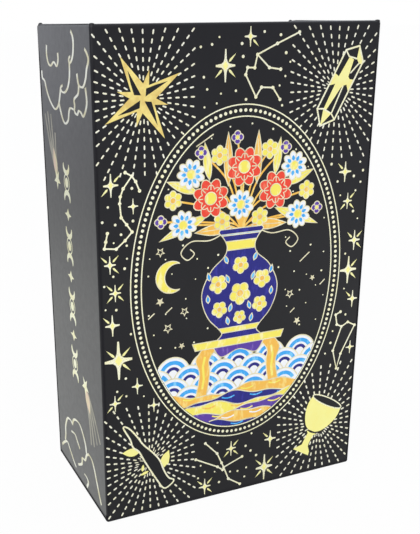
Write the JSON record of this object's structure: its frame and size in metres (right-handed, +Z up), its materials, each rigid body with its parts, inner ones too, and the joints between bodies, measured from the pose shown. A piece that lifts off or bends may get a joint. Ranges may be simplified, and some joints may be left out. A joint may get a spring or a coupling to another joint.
{
  "type": "boxed tarot deck",
  "caption": "Upright rigid two-piece gift box in black paper with gold ornament; the lid lifts off a tray that holds a full deck of tarot cards and a stapled guidebook.",
  "frame": {"origin": "under the middle of the box, on the plane that it stands on", "axes": "+Z up along the box's height, +X to the right across its width, -Y out of its front panel"},
  "size_m": [0.08, 0.0432, 0.1304],
  "materials": {
    "black_wrap": "black paper with a matte film laminate, gold foil stamping and printed colours",
    "greyboard": "raw grey pulp board",
    "kraft_stay": "gummed kraft paper tape",
    "black_lining": "uncoated black paper",
    "booklet_cover": "coated cover paper, satin",
    "booklet_paper": "uncoated ivory paper",
    "staple_wire": "bright wire",
    "card_stock": "laminated card, printed on both sides, satin"
  },
  "bodies": {
    "base": {"base_wrap": "black_wrap", "base_board": "greyboard", "base_corner_stays": "kraft_stay", "base_liner": "black_lining"},
    "guidebook": {"guidebook_cover": "booklet_cover", "guidebook_sheets": "booklet_paper", "guidebook_staples": "staple_wire"},
    "pentacles_suit": {"pentacles_numbered_cards": "card_stock", "pentacles_court_cards": "card_stock"},
    "swords_suit": {"swords_numbered_cards": "card_stock", "swords_court_cards": "card_stock"},
    "cups_suit": {"cups_numbered_cards": "card_stock", "cups_court_cards": "card_stock"},
    "wands_suit": {"wands_numbered_cards": "card_stock", "wands_court_cards": "card_stock"},
    "major_card_21": {"major_card_21": "card_stock"},
    "major_card_20": {"major_card_20": "card_stock"},
    "major_card_19": {"major_card_19": "card_stock"},
    "major_card_18": {"major_card_18": "card_stock"},
    "major_card_17": {"major_card_17": "card_stock"},
    "major_card_16": {"major_card_16": "card_stock"},
    "major_card_15": {"major_card_15": "card_stock"},
    "major_card_14": {"major_card_14": "card_stock"},
    "major_card_13": {"major_card_13": "card_stock"},
    "major_card_12": {"major_card_12": "card_stock"},
    "major_card_11": {"major_card_11": "card_stock"},
    "major_card_10": {"major_card_10": "card_stock"},
    "major_card_09": {"major_card_09": "card_stock"},
    "major_card_08": {"major_card_08": "card_stock"},
    "major_card_07": {"major_card_07": "card_stock"},
    "major_card_06": {"major_card_06": "card_stock"},
    "major_card_05": {"major_card_05": "card_stock"},
    "major_card_04": {"major_card_04": "card_stock"},
    "major_card_03": {"major_card_03": "card_stock"},
    "major_card_02": {"major_card_02": "card_stock"},
    "major_card_01": {"major_card_01": "card_stock"},
    "major_card_00": {"major_card_00": "card_stock"},
    "lid": {"lid_wrap": "black_wrap", "lid_board": "greyboard", "lid_corner_stays": "kraft_stay", "lid_liner": "black_lining"}
  },
  "joints": [
    {"name": "guidebook_lift", "type": "slide", "parent": "base", "child": "guidebook", "axis": [0, -1, 0], "range_m": [0, 0.044]},
    {"name": "deck_pentacles_lift", "type": "slide", "parent": "guidebook", "child": "pentacles_suit", "axis": [0, -1, 0], "range_m": [0, 0.039]},
    {"name": "deck_swords_lift", "type": "slide", "parent": "pentacles_suit", "child": "swords_suit", "axis": [0, -1, 0], "range_m": [0, 0.033]},
    {"name": "deck_cups_lift", "type": "slide", "parent": "swords_suit", "child": "cups_suit", "axis": [0, -1, 0], "range_m": [0, 0.027]},
    {"name": "deck_wands_lift", "type": "slide", "parent": "cups_suit", "child": "wands_suit", "axis": [0, -1, 0], "range_m": [0, 0.021]},
    {"name": "major_21_lift", "type": "slide", "parent": "wands_suit", "child": "major_card_21", "axis": [0, -1, 0], "range_m": [0, 0.015]},
    {"name": "major_20_lift", "type": "slide", "parent": "major_card_21", "child": "major_card_20", "axis": [0, -1, 0], "range_m": [0, 0.015]},
    {"name": "major_19_lift", "type": "slide", "parent": "major_card_20", "child": "major_card_19", "axis": [0, -1, 0], "range_m": [0, 0.015]},
    {"name": "major_18_lift", "type": "slide", "parent": "major_card_19", "child": "major_card_18", "axis": [0, -1, 0], "range_m": [0, 0.014]},
    {"name": "major_17_lift", "type": "slide", "parent": "major_card_18", "child": "major_card_17", "axis": [0, -1, 0], "range_m": [0, 0.014]},
    {"name": "major_16_lift", "type": "slide", "parent": "major_card_17", "child": "major_card_16", "axis": [0, -1, 0], "range_m": [0, 0.013]},
    {"name": "major_15_lift", "type": "slide", "parent": "major_card_16", "child": "major_card_15", "axis": [0, -1, 0], "range_m": [0, 0.013]},
    {"name": "major_14_lift", "type": "slide", "parent": "major_card_15", "child": "major_card_14", "axis": [0, -1, 0], "range_m": [0, 0.013]},
    {"name": "major_13_lift", "type": "slide", "parent": "major_card_14", "child": "major_card_13", "axis": [0, -1, 0], "range_m": [0, 0.012]},
    {"name": "major_12_lift", "type": "slide", "parent": "major_card_13", "child": "major_card_12", "axis": [0, -1, 0], "range_m": [0, 0.012]},
    {"name": "major_11_lift", "type": "slide", "parent": "major_card_12", "child": "major_card_11", "axis": [0, -1, 0], "range_m": [0, 0.011]},
    {"name": "major_10_lift", "type": "slide", "parent": "major_card_11", "child": "major_card_10", "axis": [0, -1, 0], "range_m": [0, 0.011]},
    {"name": "major_09_lift", "type": "slide", "parent": "major_card_10", "child": "major_card_09", "axis": [0, -1, 0], "range_m": [0, 0.01]},
    {"name": "major_08_lift", "type": "slide", "parent": "major_card_09", "child": "major_card_08", "axis": [0, -1, 0], "range_m": [0, 0.01]},
    {"name": "major_07_lift", "type": "slide", "parent": "major_card_08", "child": "major_card_07", "axis": [0, -1, 0], "range_m": [0, 0.01]},
    {"name": "major_06_lift", "type": "slide", "parent": "major_card_07", "child": "major_card_06", "axis": [0, -1, 0], "range_m": [0, 0.009]},
    {"name": "major_05_lift", "type": "slide", "parent": "major_card_06", "child": "major_card_05", "axis": [0, -1, 0], "range_m": [0, 0.009]},
    {"name": "major_04_lift", "type": "slide", "parent": "major_card_05", "child": "major_card_04", "axis": [0, -1, 0], "range_m": [0, 0.008]},
    {"name": "major_03_lift", "type": "slide", "parent": "major_card_04", "child": "major_card_03", "axis": [0, -1, 0], "range_m": [0, 0.008]},
    {"name": "major_02_lift", "type": "slide", "parent": "major_card_03", "child": "major_card_02", "axis": [0, -1, 0], "range_m": [0, 0.008]},
    {"name": "major_01_lift", "type": "slide", "parent": "major_card_02", "child": "major_card_01", "axis": [0, -1, 0], "range_m": [0, 0.007]},
    {"name": "major_00_lift", "type": "slide", "parent": "major_card_01", "child": "major_card_00", "axis": [0, -1, 0], "range_m": [0, 0.007]},
    {"name": "lid_lift", "type": "slide", "parent": "major_card_00", "child": "lid", "axis": [0, -1, 0], "range_m": [0, 0.07]}
  ]
}
